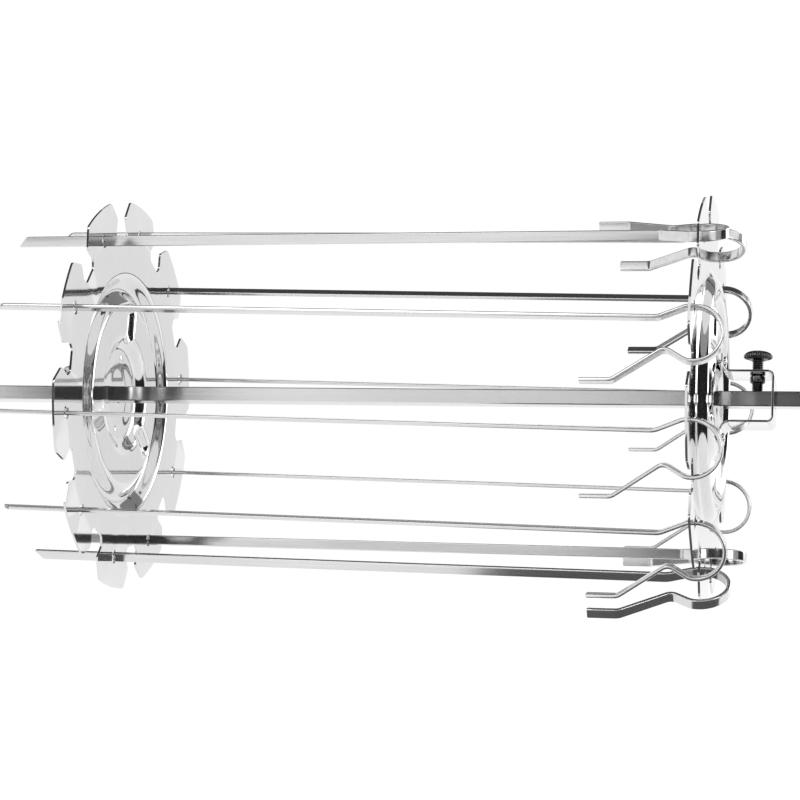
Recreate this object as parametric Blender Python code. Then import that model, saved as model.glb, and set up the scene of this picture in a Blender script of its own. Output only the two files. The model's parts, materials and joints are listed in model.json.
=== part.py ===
"""Rotisserie skewer cage: two notched wheels on a square spit, ten clip-on skewers and two clamps.

Frame: the origin is the middle of the spit's drive end. +X points out of that end, along the spit, and
+Z is up, through the wheels' top notches. Angles round the spit ("station" angles) start at +Z and grow
towards -Y. The cage hangs on its spit.
"""
import math

import bmesh
import bpy
from mathutils import Vector

# Driving dimensions, in metres and degrees
SPIT_SIDE = 0.008
SPIT_LENGTH = 0.600
DRIVE_REACH = 0.140  # from the drive end to the right wheel
SPIT_TAPER = 0.016
SPIT_TIP_SIDE = 0.004
SPIT_EDGE = 0.0005
SPIT_CHAMFER = 0.0008
WHEEL_SPACING = 0.320
WHEEL_R = 0.1065
SLOT_R = 0.090
SHEET = 0.0012
STATIONS = 10
STRIP_WIDTH = 0.0056
STRIP_THICK = 0.0020
CLAMP_TILT = -18.0
FIT = 0.0003
MIN_STEP = 0.0001

# Worked out from the driving dimensions
PITCH = 360.0 / STATIONS
HALF_PITCH = PITCH / 2
RIGHT_X = -DRIVE_REACH
LEFT_X = -DRIVE_REACH - WHEEL_SPACING
HOLE_HALF = SPIT_SIDE / 2 + FIT
STRIP_LEG = 2 * SLOT_R * math.sin(math.radians(HALF_PITCH / 2))  # from slot to notch, across the chord

# Each skewer: name, station angle, which neighbouring notch its clip uses, how far it is swung out (degrees),
# and how far it has slid along the spit
SKEWERS = (
    ("skewer_01", 18.0, -1, -3.0, -0.004),
    ("skewer_02", 54.0, 1, -3.0, 0.0),
    ("skewer_03", 90.0, 1, 9.0, 0.0),
    ("skewer_04", 126.0, 1, 42.0, 0.0),
    ("skewer_05", 162.0, -1, 52.0, -0.001),
    ("skewer_06", 198.0, 1, 45.0, 0.0),
    ("skewer_07", 234.0, -1, 42.0, 0.0),
    ("skewer_08", 270.0, -1, 9.0, 0.0),
    ("skewer_09", 306.0, -1, -3.0, 0.0),
    ("skewer_10", 342.0, -1, -3.0, 0.0),
)
SWING_IN = 5.0
SWING_OUT = 58.0
SLOT_PLAY = 0.0009  # room beside a strip, so that a wheel can slide along it

# Notch outline, right half, as (sideways, radius from the spit's axis, corner radius)
NOTCH = (
    (0.0150, None, 0.0030),
    (0.0062, 0.0970, 0.0020),
    (0.0090, 0.0882, 0.0026),
    (0.0060, 0.0842, 0.0020),
)

# Pressed centre of a wheel, as (radius, height towards the wheel's outer side)
BOSS_H = 0.0058
PRESSING = (
    (0.0095, BOSS_H),
    (0.0225, BOSS_H),
    (0.0265, 0.0050),
    (0.0305, 0.0016),
    (0.0345, 0.0008),
    (0.0470, 0.0008),
    (0.0510, 0.0022),
    (0.0545, 0.0044),
    (0.0585, 0.0052),
    (0.0620, 0.0040),
    (0.0650, 0.0014),
    (0.0680, 0.0),
)
RING_SEGMENTS = 48

# Clamp: strap, feet, screw, knob and collar. X is outward from the wheel's rim plane
CLAMP_HALF_H = 0.0132
CLAMP_X = 0.0336
CLAMP_WIDTH = 0.022
FOOT_X = BOSS_H + SHEET + FIT
FOOT_Z = 0.0225
SCREW_X = 0.0249
SCREW_R = 0.0029
KNOB_R = 0.0074
KNOB_Z = 0.0220
KNOB_BORE = 0.0022
COLLAR_R = 0.0039
COLLAR_H = 0.0034

# Skewer, along the spit from the right wheel and across towards the clip's free leg
SKEWER_TIP = 0.044
TIP_SLANT = 0.0045
CLIP_R = STRIP_LEG / 2
CLIP_MID = 0.0010
STRIP_OFFSET = 0.0055
RAMP_START = -0.0170
PINCH = (-0.0130, 0.0214)
TAIL = 0.0380
TAIL_END = -0.0540
TAIL_SLOPE = 0.66


def station(radius, degrees):
    """The (Y, Z) point at that radius and station angle."""
    a = math.radians(degrees)
    return -radius * math.sin(a), radius * math.cos(a)


def rounded(points, steps):
    """A polyline through 2D points (a, b, corner radius), its corners replaced by arcs."""
    out = []
    for i, (a, b, radius) in enumerate(points):
        here = Vector((a, b))
        if radius is None or i in (0, len(points) - 1):
            out.append((a, b))
            continue
        before = (Vector(points[i - 1][:2]) - here).normalized()
        after = (Vector(points[i + 1][:2]) - here).normalized()
        half = before.angle(after) / 2
        reach = radius / math.tan(half)
        centre = here + (before + after).normalized() * (radius / math.sin(half))
        first = here + before * reach - centre
        turn = first.angle_signed(here + after * reach - centre)
        for k in range(steps + 1):
            part = -turn * k / steps
            cos, sin = math.cos(part), math.sin(part)
            spoke = Vector((first.x * cos - first.y * sin, first.x * sin + first.y * cos))
            point = centre + spoke
            if not out or (point - Vector(out[-1])).length > MIN_STEP:
                out.append(tuple(point))
    return out


def material(name, colour, roughness):
    mat = bpy.data.materials.new(name)
    mat.use_nodes = True
    shader = mat.node_tree.nodes["Principled BSDF"]
    shader.inputs["Base Color"].default_value = (*colour, 1.0)
    shader.inputs["Metallic"].default_value = 1.0
    shader.inputs["Roughness"].default_value = roughness
    return mat


def add_object(name, mesh, mat, parent=None, location=(0, 0, 0), turn=0.0):
    """Links a mesh as a named object, turned about X by turn degrees."""
    if not mesh.materials:
        mesh.materials.append(mat)
    ob = bpy.data.objects.new(name, mesh)
    ob.parent = parent
    ob.location = location
    ob.rotation_euler = (math.radians(turn), 0, 0)
    bpy.context.scene.collection.objects.link(ob)
    return ob


def to_mesh(name, bm, sharp=35.0):
    bmesh.ops.recalc_face_normals(bm, faces=bm.faces)
    mesh = bpy.data.meshes.new(name)
    bm.to_mesh(mesh)
    bm.free()
    mesh.shade_smooth()
    mesh.set_sharp_from_angle(angle=math.radians(sharp))
    return mesh


def loft(bm, rings, closed=False):
    """Skins rings of points, each a list of the same length, and caps the two ends unless closed."""
    loops = [[bm.verts.new(p) for p in ring] for ring in rings]
    count = len(loops[0])
    spans = len(loops) if closed else len(loops) - 1
    for i in range(spans):
        low, high = loops[i], loops[(i + 1) % len(loops)]
        for j in range(count):
            k = (j + 1) % count
            bm.faces.new((low[j], low[k], high[k], high[j]))
    if not closed:
        bm.faces.new(loops[0])
        bm.faces.new(loops[-1])


def strip_mesh(name, path, half_width, half_thick, point=0.0):
    """A flat strip along a path in the XZ plane, its width along Y.

    point is how far the first end's -Y corners sit behind its +Y ones; a negative point slants it the
    other way.
    """
    bm = bmesh.new()
    rings = []
    for i, (x, z) in enumerate(path):
        back = Vector(path[max(i - 1, 0)])
        ahead = Vector(path[min(i + 1, len(path) - 1)])
        along = (ahead - back).normalized()
        here = Vector((x, z))
        stretch = 1.0
        if 0 < i < len(path) - 1:
            leg = (here - back).normalized()
            stretch = 1.0 / max(leg.dot(along), 0.7)
        side = Vector((-along.y, along.x)) * half_thick * stretch
        near = max(-point, 0.0) if i == 0 else 0.0
        far = max(point, 0.0) if i == 0 else 0.0
        rings.append(
            [
                (x + side.x + near, half_width, z + side.y),
                (x - side.x + near, half_width, z - side.y),
                (x - side.x + far, -half_width, z - side.y),
                (x + side.x + far, -half_width, z + side.y),
            ]
        )
    loft(bm, rings)
    return to_mesh(name, bm)


def lathe_mesh(name, profile, segments, closed=False):
    """Turns (radius, height) points about Z; closed makes a ring with a bore."""
    bm = bmesh.new()
    rings = []
    for j in range(segments):
        a = 2 * math.pi * j / segments
        rings.append([(r * math.cos(a), r * math.sin(a), z) for r, z in profile])
    if closed:
        loft(bm, rings, closed=True)
        return to_mesh(name, bm)
    loops = [[bm.verts.new(ring[i]) for ring in rings] for i in range(len(profile))]
    for low, high in zip(loops, loops[1:]):
        for j in range(segments):
            k = (j + 1) % segments
            bm.faces.new((low[j], low[k], high[k], high[j]))
    bm.faces.new(loops[0])
    bm.faces.new(loops[-1])
    return to_mesh(name, bm)


def wheel_outline():
    """The rim with its ten notches, as (Y, Z) points."""
    mouth, _, mouth_corner = NOTCH[0]
    mouth_angle = math.degrees(math.asin(mouth / WHEEL_R))
    lead = math.radians(mouth_angle + 2.5)
    right = [
        (WHEEL_R * math.sin(lead), WHEEL_R * math.cos(lead), None),
        (mouth, math.sqrt(WHEEL_R**2 - mouth**2), mouth_corner),
        *NOTCH[1:],
    ]
    left = [(-a, b, c) for a, b, c in reversed(right)]
    notch = rounded(right + left, 3)
    rim_steps = 4
    outline = []
    for k in range(STATIONS):
        turn = math.radians(k * PITCH)
        cos, sin = math.cos(turn), math.sin(turn)
        for a, b in notch:
            # the notch is drawn round +Z, and turned to its station
            outline.append((a * cos - b * sin, a * sin + b * cos))
        start = k * PITCH + mouth_angle + 2.5
        stop = (k + 1) * PITCH - mouth_angle - 2.5
        for j in range(1, rim_steps):
            outline.append(station(WHEEL_R, start + (stop - start) * j / rim_steps))
    return outline


def slot_outline(angle, sense):
    """A bow-tie slot that lets a strip turn about the slot's centre, from SWING_IN inwards to SWING_OUT."""
    centre = Vector(station(SLOT_R, angle))
    half_t = STRIP_THICK / 2 + SLOT_PLAY
    half_w = STRIP_WIDTH / 2 + FIT
    reach = math.hypot(half_t, half_w)
    corner = math.degrees(math.atan2(half_t, half_w))
    sweep = SWING_IN + SWING_OUT
    waist = half_t / math.cos(math.radians(sweep / 2))
    waist_angle = 90 - SWING_IN + sweep / 2
    steps = 4
    polar = []
    for side in (0, 180):
        for j in range(steps + 1):
            polar.append((reach, side - SWING_IN - corner + (sweep + 2 * corner) * j / steps))
        polar.append((waist, side + waist_angle))
    out = []
    for radius, offset in polar:
        dy, dz = station(radius, angle + sense * (HALF_PITCH / 2 - offset))
        out.append((centre.x + dy, centre.y + dz))
    return out


def wheel_mesh(name, outward):
    """A pressed wheel, without thickness: notched flat rim, ring bead, flat boss with a square hole.

    outward is +1 or -1, the side that the pressing stands out to.
    """
    bm = bmesh.new()
    edges = []

    def add_loop(points):
        verts = [bm.verts.new((0, y, z)) for y, z in points]
        edges.extend(bm.edges.new((a, b)) for a, b in zip(verts, verts[1:] + verts[:1]))
        return verts

    angles = [CLAMP_TILT + 45 + 360 * j / RING_SEGMENTS for j in range(RING_SEGMENTS)]
    add_loop(wheel_outline())
    for _, angle, sense, _, _ in SKEWERS:
        add_loop(slot_outline(angle, sense))
    outer_r, outer_h = PRESSING[-1]
    ring = add_loop([station(outer_r, a) for a in angles])
    bmesh.ops.triangle_fill(bm, use_beauty=True, edges=edges, normal=(1, 0, 0))
    for radius, height in reversed(PRESSING[:-1]):
        inner = [bm.verts.new((outward * height, *station(radius, a))) for a in angles]
        for j in range(RING_SEGMENTS):
            k = (j + 1) % RING_SEGMENTS
            bm.faces.new((ring[j], ring[k], inner[k], inner[j]))
        ring = inner
    hole = []
    for j, a in enumerate(angles):
        off = math.radians(360 * j / RING_SEGMENTS % 90 - 45)
        hole.append(bm.verts.new((outward * BOSS_H, *station(HOLE_HALF / math.cos(off), a))))
    for j in range(RING_SEGMENTS):
        k = (j + 1) % RING_SEGMENTS
        bm.faces.new((ring[j], ring[k], hole[k], hole[j]))
    return to_mesh(name, bm, sharp=50.0)


def add_wheel(name, mat, parent, outward):
    ob = add_object(name, wheel_mesh(name, outward), mat, parent)
    solid = ob.modifiers.new("sheet", "SOLIDIFY")
    solid.thickness = SHEET
    solid.offset = 0
    solid.use_even_offset = True
    return ob


def clamp_path(outward):
    """Half of the strap, mirrored, as one path in XZ from one foot to the other."""
    half = [
        (FOOT_X, FOOT_Z, None),
        (FOOT_X, CLAMP_HALF_H, 0.0048),
        (CLAMP_X, CLAMP_HALF_H, 0.0028),
    ]
    whole = half + [(x, -z, corner) for x, z, corner in reversed(half)]
    return [(outward * x, z) for x, z in rounded(whole, 4)]


def add_cutter(name, mesh, parent, location):
    cutter = add_object(name, mesh, None, parent, location)
    cutter.hide_render = True
    cutter.display_type = "WIRE"
    return cutter


def cut(ob, cutter):
    boolean = ob.modifiers.new("cut_" + cutter.name, "BOOLEAN")
    boolean.operation = "DIFFERENCE"
    boolean.object = cutter


def box_mesh(name, sx, sy, sz):
    bm = bmesh.new()
    bmesh.ops.create_cube(bm, size=1.0)
    bmesh.ops.scale(bm, vec=(sx, sy, sz), verts=bm.verts)
    return to_mesh(name, bm)


def add_clamp(side, outward, wheel_x, steel, black):
    """Bracket, threaded collar, stud and knob on one wheel; the last three stand along the tilted +Z."""
    frame = bpy.data.objects.new(side + "_clamp_frame", None)
    frame.location = (wheel_x, 0, 0)
    frame.rotation_euler = (math.radians(CLAMP_TILT), 0, 0)
    bpy.context.scene.collection.objects.link(frame)

    strap = strip_mesh(side + "_bracket", clamp_path(outward), CLAMP_WIDTH / 2, SHEET / 2)
    bracket = add_object(side + "_bracket", strap, steel, frame)
    screw_x = outward * SCREW_X
    spit_hole = box_mesh(side + "_spit_hole", 4 * SHEET, 2 * HOLE_HALF, 2 * HOLE_HALF)
    cut(bracket, add_cutter(side + "_spit_hole", spit_hole, frame, (outward * CLAMP_X, 0, 0)))
    hole_r = SCREW_R + FIT
    screw_hole = lathe_mesh(side + "_screw_hole", ((hole_r, -2 * SHEET), (hole_r, 2 * SHEET)), 16)
    cut(bracket, add_cutter(side + "_screw_hole", screw_hole, frame, (screw_x, 0, CLAMP_HALF_H)))

    collar_top = CLAMP_HALF_H - SHEET / 2 - FIT
    collar_profile = (
        (hole_r, collar_top - COLLAR_H),
        (COLLAR_R, collar_top - COLLAR_H),
        (COLLAR_R, collar_top),
        (hole_r, collar_top),
    )
    collar = lathe_mesh(side + "_screw_collar", collar_profile, 16, closed=True)
    add_object(side + "_screw_collar", collar, black, frame, (screw_x, 0, 0))

    foot = SPIT_SIDE / 2 + FIT
    stud_profile = (
        (SCREW_R - 0.0006, foot),
        (SCREW_R, foot + 0.0006),
        (SCREW_R, KNOB_Z + KNOB_BORE),
    )
    stud = lathe_mesh(side + "_screw_stud", stud_profile, 16)
    add_object(side + "_screw_stud", stud, black, frame, (screw_x, 0, 0))

    # the profile starts at the bore's ceiling, comes down it, round the dished underside and over the dome
    knob_profile = (
        (hole_r, KNOB_BORE + FIT),
        (hole_r, -0.0010),
        (SCREW_R + 0.0018, -0.0008),
        (KNOB_R - 0.0016, 0.0006),
        (KNOB_R - 0.0004, 0.0),
        (KNOB_R, 0.0004),
        (KNOB_R, 0.0014),
        (KNOB_R - 0.0007, 0.0021),
        (KNOB_R - 0.0030, 0.0032),
        (KNOB_R - 0.0055, 0.0038),
    )
    knob = lathe_mesh(side + "_screw_knob", [(r, KNOB_Z + z) for r, z in knob_profile], 24)
    add_object(side + "_screw_knob", knob, black, frame, (screw_x, 0, 0))


def spit_mesh():
    """A square bar with eased long edges, a tapered left end and a chamfered right end."""
    bm = bmesh.new()

    def section(x, half):
        edge = min(SPIT_EDGE, half / 3)
        near = half - edge
        ring = ((half, near), (near, half), (-near, half), (-half, near))
        ring += tuple((-y, -z) for y, z in ring)
        return [(x, y, z) for y, z in ring]

    half = SPIT_SIDE / 2
    loft(
        bm,
        [
            section(-SPIT_LENGTH, SPIT_TIP_SIDE / 2),
            section(-SPIT_LENGTH + SPIT_TAPER, half),
            section(-SPIT_CHAMFER, half),
            section(0.0, half - SPIT_CHAMFER),
        ],
    )
    return to_mesh("spit_rod", bm)


def skewer_path():
    """The centre line of a skewer, from its point at the left to the clip's tail."""
    left = -WHEEL_SPACING
    slope = STRIP_OFFSET / (RAMP_START - left)
    tip = left - SKEWER_TIP
    low = STRIP_LEG
    loop_right = CLIP_MID + CLIP_R
    tail_bend = PINCH[0] - (TAIL - PINCH[1]) / TAIL_SLOPE
    points = (
        (tip, slope * (tip - left), None),
        (RAMP_START, STRIP_OFFSET, 0.010),
        (-0.0030, 0.0, 0.010),
        (loop_right, 0.0, CLIP_R),
        (loop_right, low, CLIP_R - 0.00001),
        (-0.0022, low, 0.009),
        (*PINCH, 0.005),
        (tail_bend, TAIL, 0.006),
        (TAIL_END, TAIL, None),
    )
    return rounded(points, 5)


def skewer_turn(angle, sense, swing):
    """Turn about X, in degrees, that points a skewer's clip at its notch, swung out by swing."""
    return sense * (90 + HALF_PITCH / 2 - swing) + angle


def main():
    for ob in list(bpy.data.objects):
        bpy.data.objects.remove(ob)
    spit_steel = material("spit_steel", (0.50, 0.50, 0.50), 0.30)
    wheel_steel = material("wheel_steel", (0.82, 0.82, 0.82), 0.06)
    bracket_steel = material("bracket_steel", (0.78, 0.78, 0.78), 0.08)
    skewer_steel = material("skewer_steel", (0.60, 0.60, 0.60), 0.20)
    screw_black = material("screw_black", (0.16, 0.16, 0.16), 0.30)

    add_object("spit_rod", spit_mesh(), spit_steel, turn=CLAMP_TILT)
    for side, outward, wheel_x in (("left", -1, LEFT_X), ("right", 1, RIGHT_X)):
        hub = bpy.data.objects.new(side + "_wheel_frame", None)
        hub.location = (wheel_x, 0, 0)
        bpy.context.scene.collection.objects.link(hub)
        add_wheel(side + "_wheel", wheel_steel, hub, outward)
        add_clamp(side, outward, wheel_x, bracket_steel, screw_black)
    half_width, half_thick = STRIP_WIDTH / 2, STRIP_THICK / 2
    strips = {}
    for sense in (-1, 1):
        strips[sense] = strip_mesh("skewer", skewer_path(), half_width, half_thick, -sense * TIP_SLANT)
    for name, angle, sense, swing, slid in SKEWERS:
        y, z = station(SLOT_R, angle)
        turn = skewer_turn(angle, sense, swing)
        add_object(name, strips[sense], skewer_steel, None, (RIGHT_X + slid, y, z), turn)


main()
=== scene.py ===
"""Looks for the rotisserie skewer cage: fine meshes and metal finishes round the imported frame.

Lengths are in metres and angles in degrees. "Station" angles go round the spit from +Z towards -Y.
"""

import json
import math

import bmesh
import bpy
from mathutils import Matrix, Vector


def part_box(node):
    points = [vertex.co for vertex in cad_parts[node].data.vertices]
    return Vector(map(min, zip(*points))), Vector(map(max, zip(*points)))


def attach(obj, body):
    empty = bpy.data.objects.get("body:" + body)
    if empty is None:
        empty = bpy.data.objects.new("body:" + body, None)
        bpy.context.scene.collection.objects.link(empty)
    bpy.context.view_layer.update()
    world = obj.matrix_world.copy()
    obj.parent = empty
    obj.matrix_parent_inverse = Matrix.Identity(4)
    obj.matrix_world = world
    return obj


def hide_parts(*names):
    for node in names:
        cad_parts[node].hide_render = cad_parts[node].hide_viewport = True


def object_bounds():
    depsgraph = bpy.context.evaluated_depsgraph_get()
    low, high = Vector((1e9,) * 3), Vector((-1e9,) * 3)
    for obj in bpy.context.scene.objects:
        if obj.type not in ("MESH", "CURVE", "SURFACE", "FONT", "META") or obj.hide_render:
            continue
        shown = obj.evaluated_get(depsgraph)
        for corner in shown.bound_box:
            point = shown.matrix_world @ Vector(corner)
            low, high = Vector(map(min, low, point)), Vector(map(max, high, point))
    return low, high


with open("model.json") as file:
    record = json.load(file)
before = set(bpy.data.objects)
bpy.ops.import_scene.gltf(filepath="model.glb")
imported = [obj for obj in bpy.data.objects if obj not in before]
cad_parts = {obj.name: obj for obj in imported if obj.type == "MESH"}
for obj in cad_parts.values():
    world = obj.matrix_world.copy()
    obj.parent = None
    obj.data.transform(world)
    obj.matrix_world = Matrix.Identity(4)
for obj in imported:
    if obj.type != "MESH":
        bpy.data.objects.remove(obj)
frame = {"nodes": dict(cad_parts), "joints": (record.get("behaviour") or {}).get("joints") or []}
CAD_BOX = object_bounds()

# Sizes shared with the CAD
SLOT_R = 0.090
WHEEL_R = 0.10645  # a hair inside the CAD's rim
WHEEL_SPACING = 0.320
SHEET = 0.0012
STATIONS = 10
STEP_ANGLE = 360.0 / STATIONS
STRIP_WIDTH = 0.0056
STRIP_THICK = 0.0020
STRIP_LEG = 2 * SLOT_R * math.sin(math.radians(STEP_ANGLE / 4))  # from slot to notch, across the chord
CLAMP_TILT = -18.0
HOLE_HALF = 0.0043
MIN_STEP = 0.0001

# Each skewer: station angle, which neighbouring notch its clip uses, swing at rest, slide at rest
SKEWERS = {
    "skewer_01": (18.0, -1, -3.0, -0.004),
    "skewer_02": (54.0, 1, -3.0, 0.0),
    "skewer_03": (90.0, 1, 9.0, 0.0),
    "skewer_04": (126.0, 1, 42.0, 0.0),
    "skewer_05": (162.0, -1, 52.0, -0.001),
    "skewer_06": (198.0, 1, 45.0, 0.0),
    "skewer_07": (234.0, -1, 42.0, 0.0),
    "skewer_08": (270.0, -1, 9.0, 0.0),
    "skewer_09": (306.0, -1, -3.0, 0.0),
    "skewer_10": (342.0, -1, -3.0, 0.0),
}

# Slot that a skewer turns in: its swing each way, and half the strip's section with play
SWING_IN = 5.0
SWING_OUT = 58.0
SLOT_HALF_T = 0.0019
SLOT_HALF_W = 0.0031

# Skewer from the side, measured from its slot
TIP_REACH = 0.044
TIP_SHOULDER = 0.0012
TIP_SLANT = 0.0045
RAMP = (-0.0170, 0.0055)
SEAT_X = -0.0030
LOOP_X = 0.0010
LOOP_END_X = -0.0022
PINCH = (-0.0130, 0.0214)
TAIL_Z = 0.0380
TAIL_SLOPE = 0.66
TAIL_SHOULDER_X = -0.0535
TAIL_X = -0.0540
STRIP_CORNER = 0.0006

# Notch, right half: sideways, radius from the axis (the rim where None), corner radius
NOTCH = (
    (0.0150, None, 0.0030),
    (0.0062, 0.0970, 0.0020),
    (0.0090, 0.0882, 0.0026),
    (0.0060, 0.0842, 0.0020),
)
RIM_LEAD = 2.5  # degrees of rim that belong to a notch's corner
RIM_STEPS = 12

# Pressed relief of a wheel: radius and height to its outer side, eased from one to the next
BOSS_H = 0.0058
RELIEF = (
    (0.0680, 0.0),
    (0.0582, 0.0052),
    (0.0490, 0.0008),
    (0.0345, 0.0008),
    (0.0235, 0.0048),
    (0.0120, BOSS_H),
    (0.0, BOSS_H),
)
RELIEF_INNER_R = 0.0080
RELIEF_RINGS = 54
RING_COUNT = 160
RIB_ANGLES = (-18.0, 102.0, 222.0)
RIB_R = 0.0400
RIB_REACH = 0.0115
RIB_EASE = 0.0060
RIB_HALF = 0.0070
RIB_H = 0.0026
RIM_ROUND = 0.00022

# Clamp strap, measured from the wheel and the spit's axis
FOOT_X = 0.0073
FOOT_Z = 0.0225
FOOT_BEND = 0.0048
CLAMP_X = 0.0336
CLAMP_HALF_H = 0.0132
CLAMP_BEND = 0.0028
CLAMP_WIDTH = 0.022
STRAP_CORNER = 0.0002
STUD_HOLE_R = 0.0032
RIVET_R = 0.0028
RIVET_SHANK_R = 0.0010
RIVET_RIM_H = 0.0003
RIVET_DOME_H = 0.0009
RIVET_Z = 0.0203

# Thumb screw, with heights from the spit's axis
SCREW_X = 0.0249
SCREW_R = 0.0029
SCREW_LOW = 0.0043
SCREW_PLAY = 0.0003
THREAD_PITCH = 0.0010
THREAD_DEPTH = 0.0005
THREAD_ROWS = 170
KNOB_Z = 0.0220
KNOB_R = 0.0074
KNOB_DOME_H = 0.0020
KNURL_DEPTH = 0.00055
KNURL_PAIRS = 18
DOME_SWEEP = 1.50  # radians of arc in a domed head
COLLAR_R = 0.0039
COLLAR_TOP = 0.0123
COLLAR_H = 0.0034
COLLAR_SEGMENTS = 72

# Camera
CAMERA_AT = (-0.0199, -1.1884, 0.1258)
CAMERA_LENS = 103.2
CAMERA_YAW = 13.48
CAMERA_PITCH = -5.95
CAMERA_ROLL = -0.92

# Studio. Lights: centre, size, power. Cards: centre, size, the point it faces, grey
FLOOR_Z = -0.45
FLOOR_HALF = 15.0
WORLD_STRENGTH = 1.06
LIGHTS = (
    ("key_light", (-0.9, -1.5, 1.6), 0.8, 3.0),
    ("back_light", (1.08, 1.58, 0.15), 0.75, 4.2),
    ("right_light", (1.7, -1.25, 0.35), 0.8, 6.0),
)
CARDS = (
    ("front_dark", (0.90, -2.2, 1.25), (2.64, 1.3), (0.90, 0.0, 1.25), 0.03),
    ("front_grey", (-0.71, -2.21, 1.25), (0.58, 1.3), (-0.71, 0.0, 1.25), 0.74),
    ("left_dark", (-1.44, -2.2, 1.25), (0.31, 1.3), (-1.44, 0.0, 1.25), 0.03),
    ("left_low_dark", (-1.31, -2.2, 0.05), (0.12, 1.1), (-1.31, 0.0, 0.05), 0.04),
    ("low_dark", (0.60, -1.10, -0.44), (1.9, 2.2), (0.60, -1.10, 1.0), 0.10),
    ("top_dark", (-0.3, 0.70, 1.5), (3.2, 3.0), (-0.3, 0.70, 0.0), 0.06),
    ("back_dark", (-0.5, 2.4, 1.02), (3.6, 1.1), (-0.5, 0.0, 1.02), 0.26),
    ("side_grey", (1.75, 0.40, 0.1), (2.2, 1.5), (-0.46, 0.40, 0.1), 0.36),
    ("side_dark", (1.45, 0.62, 0.0), (0.95, 0.9), (-0.46, 0.0, 0.0), 0.02),
    ("far_grey", (-2.3, 0.2, 0.1), (2.2, 1.5), (-0.46, 0.2, 0.1), 0.30),
    ("narrow_dark", (0.62, 2.10, 0.1), (0.07, 1.6), (-0.14, 0.0, 0.0), 0.05),
)


def smooth(t):
    t = min(max(t, 0.0), 1.0)
    return t * t * (3 - 2 * t)


def station(radius, degrees):
    """The (Y, Z) point at that radius and station angle."""
    a = math.radians(degrees)
    return -radius * math.sin(a), radius * math.cos(a)


def rounded(points, steps):
    """A polyline through 2D points (a, b, corner radius), its corners replaced by arcs."""
    out = []
    for i, (a, b, radius) in enumerate(points):
        here = Vector((a, b))
        if radius is None or i in (0, len(points) - 1):
            out.append((a, b))
            continue
        before = (Vector(points[i - 1][:2]) - here).normalized()
        after = (Vector(points[i + 1][:2]) - here).normalized()
        half = before.angle(after) / 2
        centre = here + (before + after).normalized() * (radius / math.sin(half))
        reach = radius / math.tan(half)
        first = here + before * reach - centre
        turn = first.angle_signed(here + after * reach - centre)
        for k in range(steps + 1):
            cos, sin = math.cos(-turn * k / steps), math.sin(-turn * k / steps)
            point = centre + Vector((first.x * cos - first.y * sin, first.x * sin + first.y * cos))
            if not out or (point - Vector(out[-1])).length > MIN_STEP:
                out.append(tuple(point))
    return out


# ---- materials ----


def link_value(tree, source, low, high, target):
    """Feeds a 0 to 1 output into a socket, stretched to low..high."""
    node = tree.nodes.new("ShaderNodeMapRange")
    node.inputs["To Min"].default_value = low
    node.inputs["To Max"].default_value = high
    tree.links.new(source, node.inputs["Value"])
    tree.links.new(node.outputs["Result"], target)


def noise(tree, coords, scale, stretch, detail):
    """Noise on the object's own coordinates, stretched along its axes."""
    mapping = tree.nodes.new("ShaderNodeMapping")
    mapping.inputs["Scale"].default_value = stretch
    tree.links.new(coords, mapping.inputs["Vector"])
    node = tree.nodes.new("ShaderNodeTexNoise")
    node.inputs["Scale"].default_value = scale
    node.inputs["Detail"].default_value = detail
    tree.links.new(mapping.outputs["Vector"], node.inputs["Vector"])
    return node.outputs["Fac"]


def metal(name, dark, light, rough, grain_scale, grain_stretch, bump, wear):
    """A metal with grain, soft staining, uneven roughness and edges rubbed to another tone."""
    mat = bpy.data.materials.new(name)
    mat.use_nodes = True
    tree = mat.node_tree
    shader = tree.nodes["Principled BSDF"]
    shader.inputs["Metallic"].default_value = 1.0
    coords = tree.nodes.new("ShaderNodeTexCoord").outputs["Object"]
    grain = noise(tree, coords, grain_scale, grain_stretch, 6.0)
    stain = noise(tree, coords, 38.0, (1.0, 1.0, 1.0), 3.0)

    ramp = tree.nodes.new("ShaderNodeValToRGB")
    ramp.color_ramp.elements[0].position = 0.30
    ramp.color_ramp.elements[0].color = (dark, dark, dark, 1.0)
    ramp.color_ramp.elements[1].position = 0.70
    ramp.color_ramp.elements[1].color = (light, light, light * 0.995, 1.0)
    tree.links.new(grain, ramp.inputs["Fac"])

    stained = tree.nodes.new("ShaderNodeMix")
    stained.data_type = "RGBA"
    stained.blend_type = "MULTIPLY"
    stained.inputs["B"].default_value = (0.86, 0.86, 0.86, 1.0)
    link_value(tree, stain, 0.0, 0.45, stained.inputs["Factor"])
    tree.links.new(ramp.outputs["Color"], stained.inputs["A"])

    edges = tree.nodes.new("ShaderNodeMapRange")
    edges.inputs["From Min"].default_value = 0.50
    edges.inputs["From Max"].default_value = 0.60
    tree.links.new(tree.nodes.new("ShaderNodeNewGeometry").outputs["Pointiness"], edges.inputs["Value"])
    worn = tree.nodes.new("ShaderNodeMix")
    worn.data_type = "RGBA"
    worn.inputs["B"].default_value = (wear, wear, wear, 1.0)
    tree.links.new(edges.outputs["Result"], worn.inputs["Factor"])
    tree.links.new(stained.outputs["Result"], worn.inputs["A"])
    tree.links.new(worn.outputs["Result"], shader.inputs["Base Color"])

    uneven = noise(tree, coords, 120.0, grain_stretch, 3.0)
    link_value(tree, uneven, rough * 0.65, rough * 1.35, shader.inputs["Roughness"])
    if bump:
        relief = tree.nodes.new("ShaderNodeBump")
        relief.inputs["Strength"].default_value = bump
        relief.inputs["Distance"].default_value = 0.0001
        tree.links.new(grain, relief.inputs["Height"])
        tree.links.new(relief.outputs["Normal"], shader.inputs["Normal"])
    return mat


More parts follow.
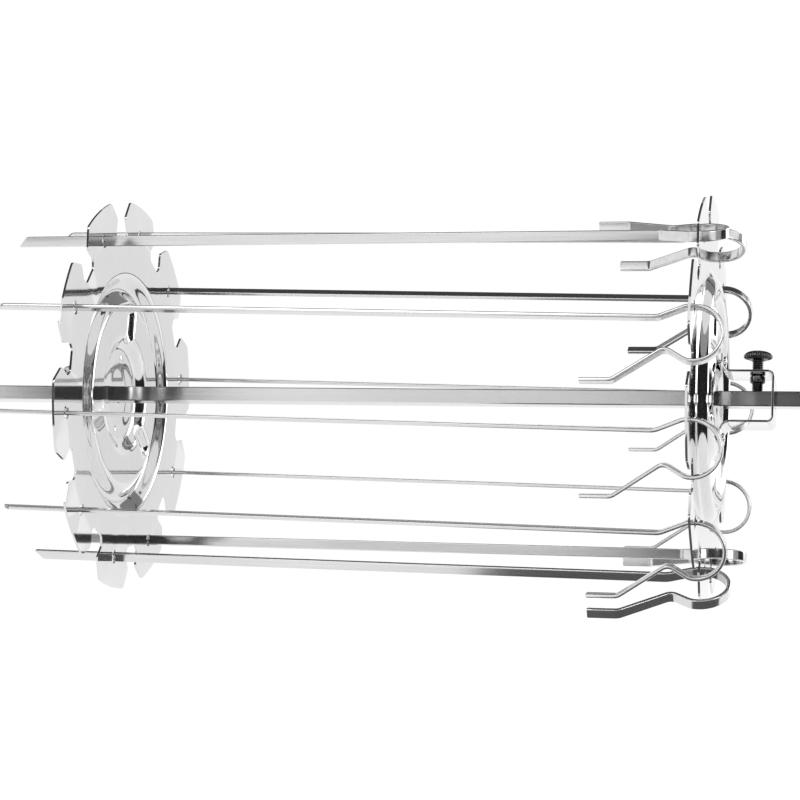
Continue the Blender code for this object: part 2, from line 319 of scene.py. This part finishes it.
def plain(name, grey):
    """A dull grey with no highlight, for the stage."""
    mat = bpy.data.materials.new(name)
    mat.use_nodes = True
    shader = mat.node_tree.nodes["Principled BSDF"]
    shader.inputs["Base Color"].default_value = (grey, grey, grey, 1.0)
    shader.inputs["Roughness"].default_value = 0.9
    shader.inputs["Specular IOR Level"].default_value = 0.0
    return mat


# Name, dark and light grey, roughness, grain scale and stretch, bump, grey of worn edges
MIRROR = metal("mirror_steel", 0.63, 0.67, 0.06, 420.0, (1.0, 1.0, 0.20), 0.012, 0.80)
STRAP = metal("polished_strap", 0.58, 0.70, 0.06, 300.0, (0.08, 1.0, 1.0), 0.02, 0.80)
DRAWN = metal("drawn_bar", 0.50, 0.70, 0.15, 900.0, (0.012, 1.0, 1.0), 0.30, 0.72)
SATIN = metal("satin_strip", 0.60, 0.74, 0.15, 800.0, (0.02, 1.0, 1.0), 0.10, 0.78)
BLACK = metal("black_steel", 0.035, 0.09, 0.28, 500.0, (1.0, 1.0, 1.0), 0.20, 0.28)


# ---- mesh helpers ----


def new_object(name, bm, mat, matrix=Matrix(), sharp=38.0):
    """A smooth-shaded object from a bmesh, with creases kept where faces turn more than sharp degrees."""
    bmesh.ops.recalc_face_normals(bm, faces=bm.faces)
    mesh = bpy.data.meshes.new(name)
    bm.to_mesh(mesh)
    bm.free()
    mesh.shade_smooth()
    mesh.set_sharp_from_angle(angle=math.radians(sharp))
    mesh.materials.append(mat)
    ob = bpy.data.objects.new(name, mesh)
    ob.matrix_world = matrix
    bpy.context.scene.collection.objects.link(ob)
    return ob


def skin(bm, rings, closed=False):
    """Faces between rings of points; the ends are capped unless closed."""
    loops = [[bm.verts.new(p) for p in ring] for ring in rings]
    count = len(loops[0])
    for i in range(len(loops) if closed else len(loops) - 1):
        here, ahead = loops[i], loops[(i + 1) % len(loops)]
        for j in range(count):
            k = (j + 1) % count
            bm.faces.new((here[j], here[k], ahead[k], ahead[j]))
    if not closed:
        bm.faces.new(loops[0])
        bm.faces.new(loops[-1])


def ease_edges(ob, width):
    bevel = ob.modifiers.new("eased", "BEVEL")
    bevel.width = width
    bevel.segments = 2
    bevel.limit_method = "ANGLE"
    bevel.angle_limit = math.radians(40.0)


def even_shading(ob):
    """Keeps wide flat faces flat in the shading next to small rounded edges."""
    normals = ob.modifiers.new("even", "WEIGHTED_NORMAL")
    normals.mode = "FACE_AREA"
    normals.weight = 90
    normals.keep_sharp = True


def bake_modifiers(ob):
    """Replaces an object's mesh by what its modifiers make of it."""
    graph = bpy.context.evaluated_depsgraph_get()
    made = bpy.data.meshes.new_from_object(ob.evaluated_get(graph))
    ob.modifiers.clear()
    ob.data = made


def finish_piece(ob, body, slot, *nodes):
    """Says which body a piece rides on and hides the CAD nodes that it replaces. The slot argument is not
    used.
    """
    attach(ob, body)
    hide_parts(*nodes)


def strip(name, path, half_w, half_t, corner, mat, matrix=Matrix(), slant=0.0):
    """A strip with eased long edges along an XZ path, its width along Y.

    slant cuts the first end at an angle: how much further one edge reaches, its sign the edge.
    """
    outline = []
    for sy, sz, start in ((1, 1, 0), (-1, 1, 90), (-1, -1, 180), (1, -1, 270)):
        for k in range(4):
            a = math.radians(start + 30 * k)
            cy = sy * (half_w - corner)
            cz = sz * (half_t - corner)
            outline.append((cy + corner * math.cos(a), cz + corner * math.sin(a)))
    side = math.copysign(1.0, slant)
    rings = []
    for i, (x, z) in enumerate(path):
        back = Vector(path[max(i - 1, 0)])
        ahead = Vector(path[min(i + 1, len(path) - 1)])
        along = (ahead - back).normalized()
        up = Vector((-along.y, along.x))
        shrink = 0.90 if i in (0, len(path) - 1) else 1.0
        ring = []
        for y, t in outline:
            y, t = y * shrink, t * shrink
            cut = abs(slant) * (half_w - side * y) / (2 * half_w) if i < 2 else 0.0
            ring.append((x + up.x * t + cut, y, z + up.y * t))
        rings.append(ring)
    bm = bmesh.new()
    skin(bm, rings)
    ob = new_object(name, bm, mat, matrix, sharp=50.0)
    even_shading(ob)
    return ob


def turned(name, profile, mat, matrix, segments, ripple=None):
    """Turns (radius, height) points about Z, capped at both ends. ripple changes a radius with its angle."""
    angles = [2 * math.pi * j / segments for j in range(segments)]
    circles = []
    for r, z in profile:
        radii = [ripple(r, z, a) if ripple else r for a in angles]
        circles.append([(rr * math.cos(a), rr * math.sin(a), z) for rr, a in zip(radii, angles)])
    bm = bmesh.new()
    skin(bm, circles)
    return new_object(name, bm, mat, matrix)


# ---- wheels ----


def wheel_outline():
    """The notched rim as (Y, Z) points."""
    mouth, corner = NOTCH[0][0], NOTCH[0][2]
    mouth_angle = math.degrees(math.asin(mouth / WHEEL_R))
    lead = math.radians(mouth_angle + RIM_LEAD)
    right = [(WHEEL_R * math.sin(lead), WHEEL_R * math.cos(lead), None)]
    right.append((mouth, math.sqrt(WHEEL_R**2 - mouth**2), corner))
    right += list(NOTCH[1:])
    notch = rounded(right + [(-a, b, c) for a, b, c in reversed(right)], 7)
    outline = []
    for k in range(STATIONS):
        turn = math.radians(k * STEP_ANGLE)
        cos, sin = math.cos(turn), math.sin(turn)
        for a, b in notch:
            outline.append((a * cos - b * sin, a * sin + b * cos))
        start = k * STEP_ANGLE + mouth_angle + RIM_LEAD
        stop = (k + 1) * STEP_ANGLE - mouth_angle - RIM_LEAD
        for j in range(1, RIM_STEPS):
            outline.append(station(WHEEL_R, start + (stop - start) * j / RIM_STEPS))
    return outline


def slot_outline(angle, sense):
    """A bow-tie slot: what the strip's section sweeps as it swings."""
    centre = station(SLOT_R, angle)
    reach = math.hypot(SLOT_HALF_T, SLOT_HALF_W)
    corner = math.degrees(math.atan2(SLOT_HALF_T, SLOT_HALF_W))
    sweep = SWING_IN + SWING_OUT
    waist = SLOT_HALF_T / math.cos(math.radians(sweep / 2))
    polar = []
    for side in (0, 180):
        for j in range(9):
            polar.append((reach, side - SWING_IN - corner + (sweep + 2 * corner) * j / 8))
        polar.append((waist, side + 90 - SWING_IN + sweep / 2))
    out = []
    for radius, offset in polar:
        dy, dz = station(radius, angle + sense * (STEP_ANGLE / 4 - offset))
        out.append((centre[0] + dy, centre[1] + dz))
    return out


def relief_height(radius, degrees):
    """How far the pressing stands out at a radius and station angle."""
    height = BOSS_H
    for (r0, h0), (r1, h1) in zip(RELIEF, RELIEF[1:]):
        if r1 <= radius <= r0:
            height = h0 + (h1 - h0) * smooth((r0 - radius) / (r0 - r1))
    for rib in RIB_ANGLES:
        off = (degrees - rib + 180) % 360 - 180
        if abs(off) >= 90:
            continue
        aside = abs(radius * math.sin(math.radians(off)))
        along = abs(radius - RIB_R)
        rise = RIB_H * smooth(1 - aside / RIB_HALF) * smooth((RIB_REACH - along) / RIB_EASE)
        height = max(height, min(height + rise, BOSS_H))
    return height


def build_wheel(side, outward, wheel_x):
    """One pressed sheet: a flat rim with notches and slots, then relief rings in to a square hole."""
    bm = bmesh.new()
    edges = []

    def add_loop(points):
        verts = [bm.verts.new((wheel_x, y, z)) for y, z in points]
        edges.extend(bm.edges.new(pair) for pair in zip(verts, verts[1:] + verts[:1]))
        return verts

    angles = [CLAMP_TILT + 45 + 360 * j / RING_COUNT for j in range(RING_COUNT)]
    add_loop(wheel_outline())
    for angle, sense, _, _ in SKEWERS.values():
        add_loop(slot_outline(angle, sense))
    outer = RELIEF[0][0]
    ring = add_loop([station(outer, a) for a in angles])
    bmesh.ops.triangle_fill(bm, use_beauty=True, edges=edges, normal=(1, 0, 0))
    for i in range(1, RELIEF_RINGS + 1):
        radius = outer + (RELIEF_INNER_R - outer) * i / RELIEF_RINGS
        lift = [wheel_x + outward * relief_height(radius, a) for a in angles]
        inner = [bm.verts.new((x, *station(radius, a))) for x, a in zip(lift, angles)]
        for j in range(RING_COUNT):
            k = (j + 1) % RING_COUNT
            bm.faces.new((ring[j], ring[k], inner[k], inner[j]))
        ring = inner
    hub_x = wheel_x + outward * BOSS_H
    hole = []
    for j, a in enumerate(angles):
        off = math.radians(360 * j / RING_COUNT % 90 - 45)
        hole.append(bm.verts.new((hub_x, *station(HOLE_HALF / math.cos(off), a))))
    for j in range(RING_COUNT):
        k = (j + 1) % RING_COUNT
        bm.faces.new((ring[j], ring[k], hole[k], hole[j]))
    ob = new_object(side + "_pressed_wheel", bm, MIRROR, sharp=50.0)
    sheet = ob.modifiers.new("sheet", "SOLIDIFY")
    sheet.thickness = SHEET
    sheet.offset = 0
    sheet.use_even_offset = True
    ease_edges(ob, RIM_ROUND)
    even_shading(ob)
    finish_piece(ob, side + "_hub", "wheel_steel", side + "_wheel")


# ---- skewers ----


def skewer_path():
    """A skewer's middle line as (X, Z) points: the long straight, the clip's loop, its pinch and its tail."""
    left = -WHEEL_SPACING
    slope = RAMP[1] / (RAMP[0] - left)
    tip = left - TIP_REACH
    radius = STRIP_LEG / 2
    right = LOOP_X + radius
    tail_bend = PINCH[0] - (TAIL_Z - PINCH[1]) / TAIL_SLOPE
    points = (
        (tip, slope * (tip - left), None),
        (tip + TIP_SHOULDER, slope * (tip + TIP_SHOULDER - left), None),
        (*RAMP, 0.010),
        (SEAT_X, 0.0, 0.010),
        (right, 0.0, radius),
        (right, STRIP_LEG, radius - 0.00001),  # just under, so that the two arcs don't share a point
        (LOOP_END_X, STRIP_LEG, 0.009),
        (*PINCH, 0.005),
        (tail_bend, TAIL_Z, 0.006),
        (TAIL_SHOULDER_X, TAIL_Z, None),
        (TAIL_X, TAIL_Z, None),
    )
    return rounded(points, 16)


def build_skewers(wheel_x):
    path = skewer_path()
    half_w, half_t = STRIP_WIDTH / 2, STRIP_THICK / 2
    for name, (angle, sense, swing, slid) in SKEWERS.items():
        turn = math.radians(sense * (90 + STEP_ANGLE / 4 - swing) + angle)
        place = Matrix.Translation((wheel_x + slid, *station(SLOT_R, angle))) @ Matrix.Rotation(turn, 4, "X")
        ob = strip(name + "_strip", path, half_w, half_t, STRIP_CORNER, SATIN, place, -sense * TIP_SLANT)
        finish_piece(ob, name, "skewer_steel", name)


# ---- clamps ----


def build_bracket(side, outward, place):
    """The bent strap, with a square hole for the spit and a round one for the screw."""
    half = [(FOOT_X, FOOT_Z, None), (FOOT_X, CLAMP_HALF_H, FOOT_BEND)]
    half.append((CLAMP_X, CLAMP_HALF_H, CLAMP_BEND))
    whole = half + [(x, -z, corner) for x, z, corner in reversed(half)]
    path = [(outward * x, z) for x, z in rounded(whole, 12)]
    ob = strip(side + "_clamp_strap", path, CLAMP_WIDTH / 2, SHEET / 2, STRAP_CORNER, STRAP, place)
    depth = 4 * SHEET
    cutters = []
    bm = bmesh.new()
    bmesh.ops.create_cube(bm, size=1.0)
    bmesh.ops.scale(bm, vec=(depth, 2 * HOLE_HALF, 2 * HOLE_HALF), verts=bm.verts)
    spot = Matrix.Translation((outward * CLAMP_X, 0, 0))
    cutters.append(new_object("cut_square", bm, STRAP, place @ spot))
    bm = bmesh.new()
    size = {"radius1": STUD_HOLE_R, "radius2": STUD_HOLE_R, "depth": depth}
    bmesh.ops.create_cone(bm, cap_ends=True, segments=48, **size)
    spot = Matrix.Translation((outward * SCREW_X, 0, CLAMP_HALF_H))
    cutters.append(new_object("cut_round", bm, STRAP, place @ spot))
    for cutter in cutters:
        boolean = ob.modifiers.new("cut", "BOOLEAN")
        boolean.operation = "DIFFERENCE"
        boolean.object = cutter
    bake_modifiers(ob)
    even_shading(ob)
    for cutter in cutters:
        bpy.data.objects.remove(cutter)
    finish_piece(ob, side + "_hub", "bracket_steel", side + "_bracket")


def build_rivets(side, outward, wheel_x):
    """Two rivets that hold the clamp's feet to the wheel, headed on both sides."""
    inner, outer = BOSS_H - SHEET / 2, FOOT_X + SHEET / 2
    arc = [DOME_SWEEP * k / 5 for k in range(6)]
    head = [(RIVET_R * math.cos(a), RIVET_RIM_H + RIVET_DOME_H * math.sin(a)) for a in arc]
    inner_head = [(r, inner - h) for r, h in reversed(head)]
    outer_head = [(r, outer + h) for r, h in head]
    shank = [(RIVET_R, inner), (RIVET_SHANK_R, inner), (RIVET_SHANK_R, outer), (RIVET_R, outer)]
    profile = inner_head + shank + outer_head
    for end, sign in (("upper", 1), ("lower", -1)):
        y, z = station(sign * RIVET_Z, CLAMP_TILT)
        turn = Matrix.Rotation(math.radians(90 * outward), 4, "Y")
        place = Matrix.Translation((wheel_x, y, z)) @ turn
        rivet = turned(side + "_" + end + "_rivet", profile, STRAP, place, 32)
        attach(rivet, side + "_hub")


def thread(r, z, a):
    """The stud's radius: a rounded ridge that climbs one pitch each turn. Its narrow tip stays plain."""
    if r < SCREW_R:
        return r
    turn = (z / THREAD_PITCH - a / (2 * math.pi)) % 1.0
    return r - THREAD_DEPTH * smooth(abs(2 * turn - 1))


def knurl(r, z, a):
    """The knob's radius: ridges round its rim that fade inwards."""
    reach = smooth((r - KNOB_R + 0.0030) / 0.0026)
    return r - KNURL_DEPTH * reach * smooth(abs(math.sin(KNURL_PAIRS * a)))


def build_stud(side, axis):
    top = KNOB_Z + 0.0021
    low = SCREW_LOW + 0.0008
    profile = [(SCREW_R - 0.0008, SCREW_LOW), (SCREW_R - 0.0005, SCREW_LOW + 0.0003)]
    profile += [(SCREW_R, low + (top - low) * i / THREAD_ROWS) for i in range(THREAD_ROWS + 1)]
    stud = turned(side + "_threaded_stud", profile, BLACK, axis, 40, thread)
    finish_piece(stud, side + "_screw", "screw_black", side + "_screw_stud")


def build_knob(side, axis):
    """A domed knob with a short hub under it, drawn from the bore out and over the top."""
    bore = SCREW_R + SCREW_PLAY
    profile = [(bore, 0.0025), (bore, -0.0009), (bore + 0.0003, -0.0010), (SCREW_R + 0.0018, -0.0008)]
    profile += [(SCREW_R + 0.0024, -0.0002), (KNOB_R - 0.0018, 0.0006), (KNOB_R - 0.0006, 0.0001)]
    profile += [(KNOB_R - 0.0002, 0.0002), (KNOB_R, 0.0004), (KNOB_R, 0.0014), (KNOB_R - 0.0003, 0.0018)]
    for k in range(1, 9):
        a = DOME_SWEEP * k / 8
        profile.append(((KNOB_R - 0.0005) * math.cos(a), 0.0018 + KNOB_DOME_H * math.sin(a)))
    profile = [(r, KNOB_Z + z) for r, z in profile]
    knob = turned(side + "_domed_knob", profile, BLACK, axis, 240, knurl)
    finish_piece(knob, side + "_knob", "screw_black", side + "_screw_knob")


def build_collar(side, axis):
    bore = SCREW_R + SCREW_PLAY
    low, high = COLLAR_TOP - COLLAR_H, COLLAR_TOP
    section = (
        (bore, low),
        (COLLAR_R - 0.0004, low),
        (COLLAR_R, low + 0.0004),
        (COLLAR_R, high - 0.0003),
        (COLLAR_R - 0.0003, high),
        (bore, high),
    )
    rings = []
    for j in range(COLLAR_SEGMENTS):
        a = 2 * math.pi * j / COLLAR_SEGMENTS
        rings.append([(r * math.cos(a), r * math.sin(a), z) for r, z in section])
    bm = bmesh.new()
    skin(bm, rings, closed=True)
    collar = new_object(side + "_threaded_collar", bm, BLACK, axis)
    finish_piece(collar, side + "_hub", "screw_black", side + "_screw_collar")


# ---- stage, light and camera ----


def add_card(name, centre, size, facing, grey):
    """A card that only shows in reflections."""
    bm = bmesh.new()
    bmesh.ops.create_grid(bm, x_segments=1, y_segments=1, size=0.5)
    ob = new_object(name, bm, plain(name, grey))
    ob.scale = (*size, 1.0)
    ob.location = centre
    ob.rotation_euler = (Vector(facing) - Vector(centre)).to_track_quat("Z", "Y").to_euler()
    ob.visible_camera = False
    ob.visible_diffuse = False
    ob.visible_shadow = False


def add_light(name, centre, target, size, power):
    data = bpy.data.lights.new(name, "AREA")
    data.size = size
    data.energy = power
    ob = bpy.data.objects.new(name, data)
    ob.location = centre
    ob.rotation_euler = (Vector(target) - Vector(centre)).to_track_quat("-Z", "Y").to_euler()
    ob.visible_camera = False
    bpy.context.scene.collection.objects.link(ob)


def add_stage(middle):
    """The floor, the sky, the lights aimed at the middle of the cage, and the cards."""
    bm = bmesh.new()
    bmesh.ops.create_grid(bm, x_segments=1, y_segments=1, size=FLOOR_HALF)
    place = Matrix.Translation((middle.x, middle.y, FLOOR_Z))
    floor = new_object("floor", bm, plain("pale_floor", 0.95), place)
    world = bpy.data.worlds.new("studio")
    bpy.context.scene.world = world
    world.use_nodes = True
    sky = world.node_tree.nodes["Background"]
    sky.inputs["Color"].default_value = (1.0, 1.0, 1.0, 1.0)
    sky.inputs["Strength"].default_value = WORLD_STRENGTH
    for name, centre, size, power in LIGHTS:
        add_light(name, centre, middle, size, power)
    for name, centre, size, facing, grey in CARDS:
        add_card(name, centre, size, facing, grey)


def add_camera():
    data = bpy.data.cameras.new("camera")
    data.lens = CAMERA_LENS
    data.clip_start = 0.01
    ob = bpy.data.objects.new("camera", data)
    yaw, pitch, roll = (math.radians(a) for a in (CAMERA_YAW, CAMERA_PITCH, CAMERA_ROLL))
    look = Matrix.Rotation(yaw, 4, "Z") @ Matrix.Rotation(math.pi / 2 + pitch, 4, "X")
    ob.matrix_world = Matrix.Translation(CAMERA_AT) @ look @ Matrix.Rotation(roll, 4, "Z")
    bpy.context.scene.collection.objects.link(ob)
    bpy.context.scene.camera = ob


def main():
    right_x = next(j for j in frame["joints"] if j["name"] == "clip_swing_01")["pos_m"][0]
    left_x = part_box("left_wheel")[1].x - SHEET / 2
    for side, outward, wheel_x in (("left", -1, left_x), ("right", 1, right_x)):
        build_wheel(side, outward, wheel_x)
        place = Matrix.Translation((wheel_x, 0, 0)) @ Matrix.Rotation(math.radians(CLAMP_TILT), 4, "X")
        build_bracket(side, outward, place)
        build_rivets(side, outward, wheel_x)
        axis = place @ Matrix.Translation((outward * SCREW_X, 0, 0))
        build_stud(side, axis)
        build_knob(side, axis)
        build_collar(side, axis)
    build_skewers(right_x)
    spit = frame["nodes"]["spit_rod"]
    spit.data.materials.clear()
    spit.data.materials.append(DRAWN)
    add_stage((CAD_BOX[0] + CAD_BOX[1]) / 2)
    add_camera()
    bpy.context.scene.view_settings.view_transform = "Standard"


main()
